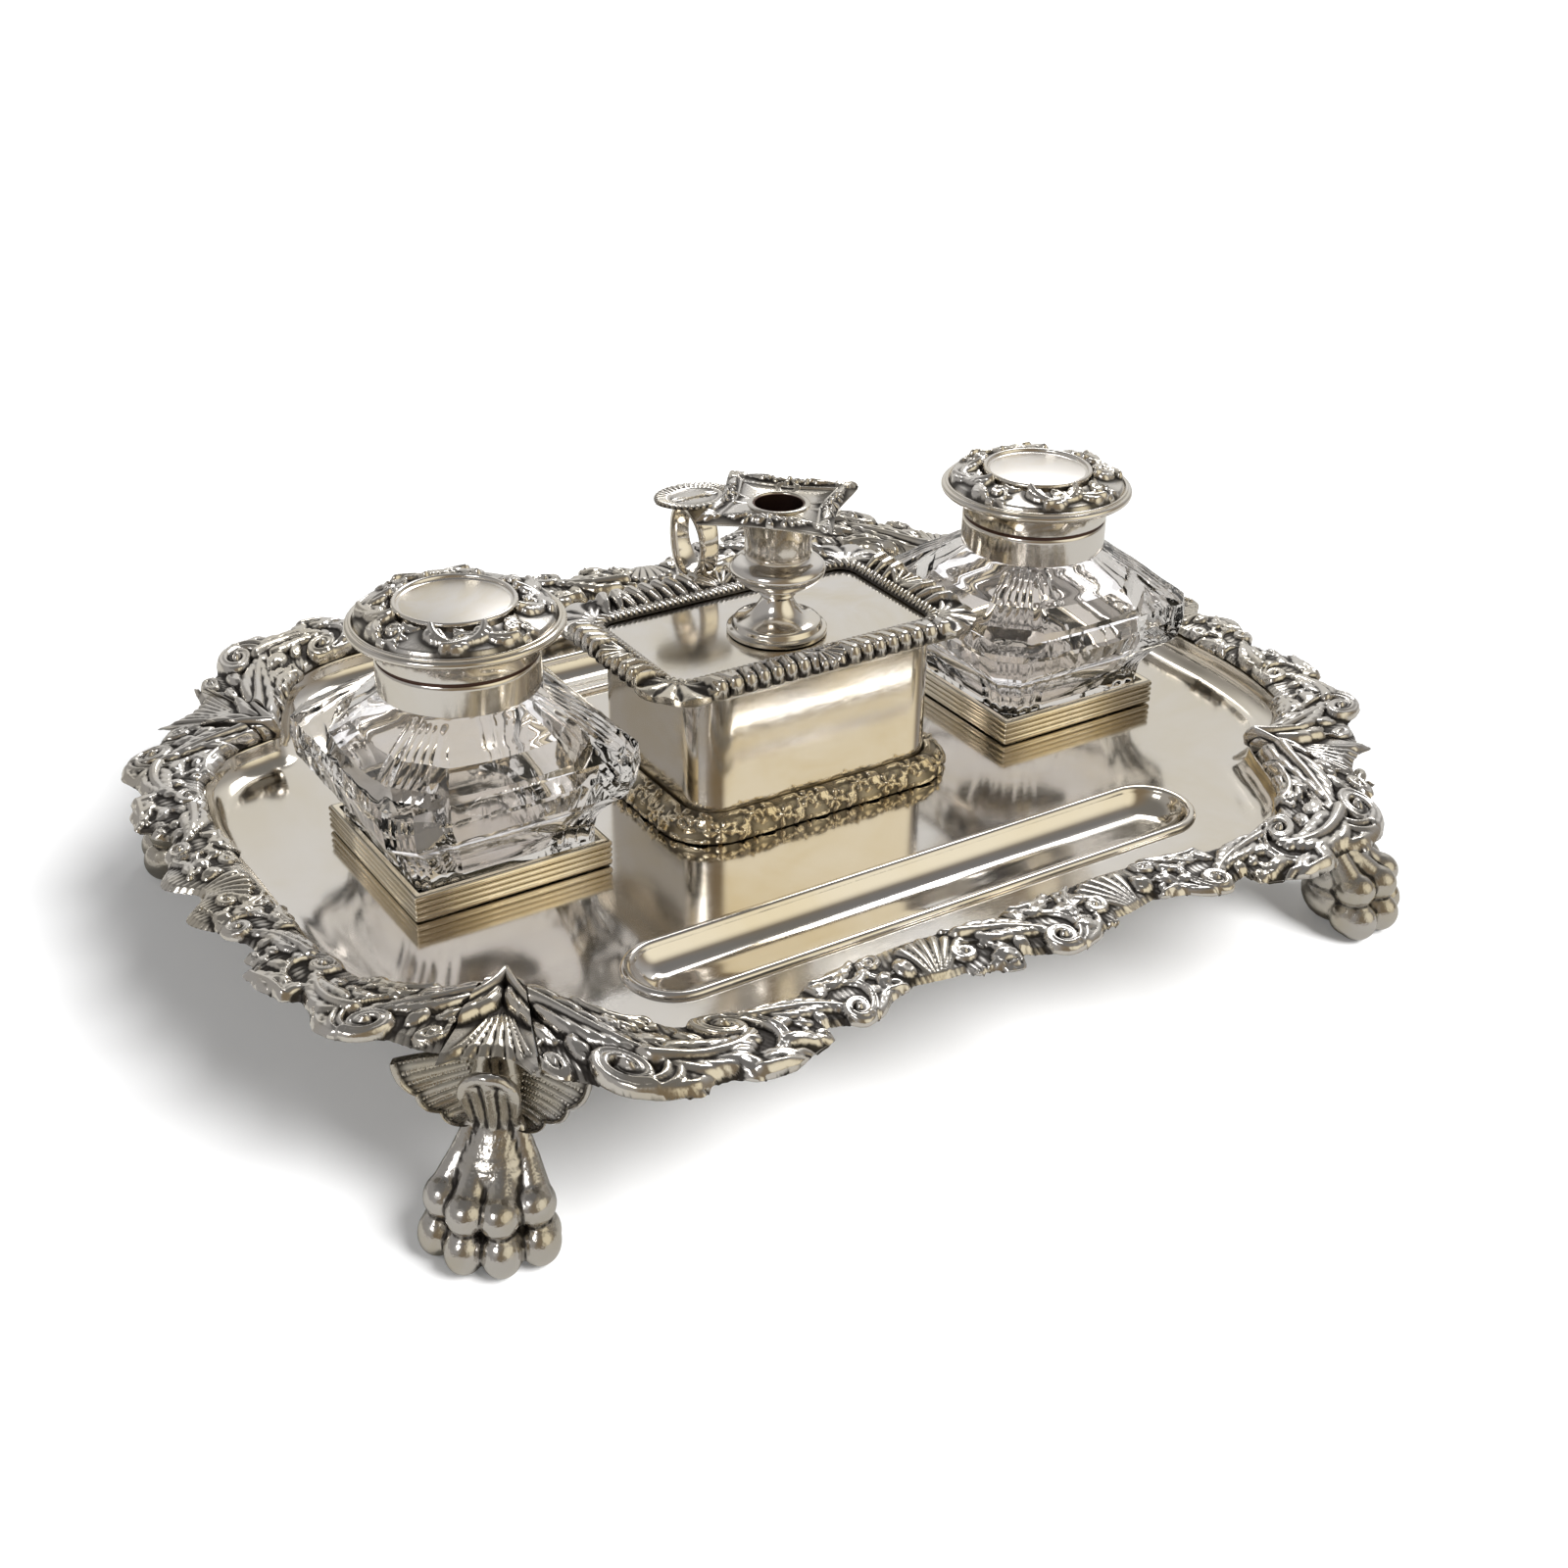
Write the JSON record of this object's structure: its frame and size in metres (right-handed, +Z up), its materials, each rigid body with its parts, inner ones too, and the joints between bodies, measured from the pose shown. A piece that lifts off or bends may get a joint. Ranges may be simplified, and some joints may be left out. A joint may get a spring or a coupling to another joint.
{
  "type": "desk inkstand",
  "caption": "Oval-cornered metal desk inkstand on paw feet: scroll-bordered pen tray, two hinged-lid square glass ink bottles in galleries, covered box with taper holder and loose nozzle.",
  "frame": {"origin": "on the ground under the middle of the tray", "axes": "+X along the tray's length, +Y towards the back where the lid hinges and ring handle are, +Z up"},
  "size_m": [0.3606, 0.281, 0.1287],
  "materials": {
    "polished_silver": "polished silver plate, lightly worn",
    "cast_silver": "cast and silver-plated, dark oxide in the recesses",
    "bottle_glass": "clear cut glass"
  },
  "bodies": {
    "tray": {"tray_plate": "polished_silver", "border_back": "cast_silver", "border_front": "cast_silver", "border_left": "cast_silver", "border_right": "cast_silver", "corner_fan_back_left": "cast_silver", "corner_fan_back_right": "cast_silver", "corner_fan_front_left": "cast_silver", "corner_fan_front_right": "cast_silver", "paw_foot_back_left": "cast_silver", "paw_foot_back_right": "cast_silver", "paw_foot_front_left": "cast_silver", "paw_foot_front_right": "cast_silver", "gallery_left": "polished_silver", "gallery_right": "polished_silver", "box_body": "polished_silver", "box_foot_border": "cast_silver"},
    "inkwell_left": {"glass_bottle_left": "bottle_glass", "neck_collar_left": "polished_silver", "hinge_pin_left": "polished_silver"},
    "lid_left": {"lid_shell_left": "polished_silver", "lid_relief_left": "cast_silver"},
    "inkwell_right": {"glass_bottle_right": "bottle_glass", "neck_collar_right": "polished_silver", "hinge_pin_right": "polished_silver"},
    "lid_right": {"lid_shell_right": "polished_silver", "lid_relief_right": "cast_silver"},
    "box_cover": {"cover_pan": "polished_silver", "cover_border": "cast_silver", "taper_holder": "polished_silver", "stem_nut": "polished_silver", "handle_ring": "polished_silver", "thumb_piece": "polished_silver"},
    "nozzle": {"nozzle": "polished_silver"}
  },
  "joints": [
    {"name": "inkwell_left_lift", "type": "slide", "parent": "tray", "child": "inkwell_left", "axis": [0, 0, 1], "range_m": [0, 0.06]},
    {"name": "lid_left_hinge", "type": "hinge", "parent": "inkwell_left", "child": "lid_left", "pos_m": [-0.095, 0.0238, 0.10235], "axis": [-1, 0, 0], "range_deg": [0, 100]},
    {"name": "inkwell_right_lift", "type": "slide", "parent": "tray", "child": "inkwell_right", "axis": [0, 0, 1], "range_m": [0, 0.06]},
    {"name": "lid_right_hinge", "type": "hinge", "parent": "inkwell_right", "child": "lid_right", "pos_m": [0.095, 0.0238, 0.10235], "axis": [-1, 0, 0], "range_deg": [0, 100]},
    {"name": "box_cover_lift", "type": "slide", "parent": "tray", "child": "box_cover", "axis": [0, 0, 1], "range_m": [0, 0.06]},
    {"name": "nozzle_lift", "type": "slide", "parent": "box_cover", "child": "nozzle", "axis": [0, 0, 1], "range_m": [0, 0.03]}
  ]
}
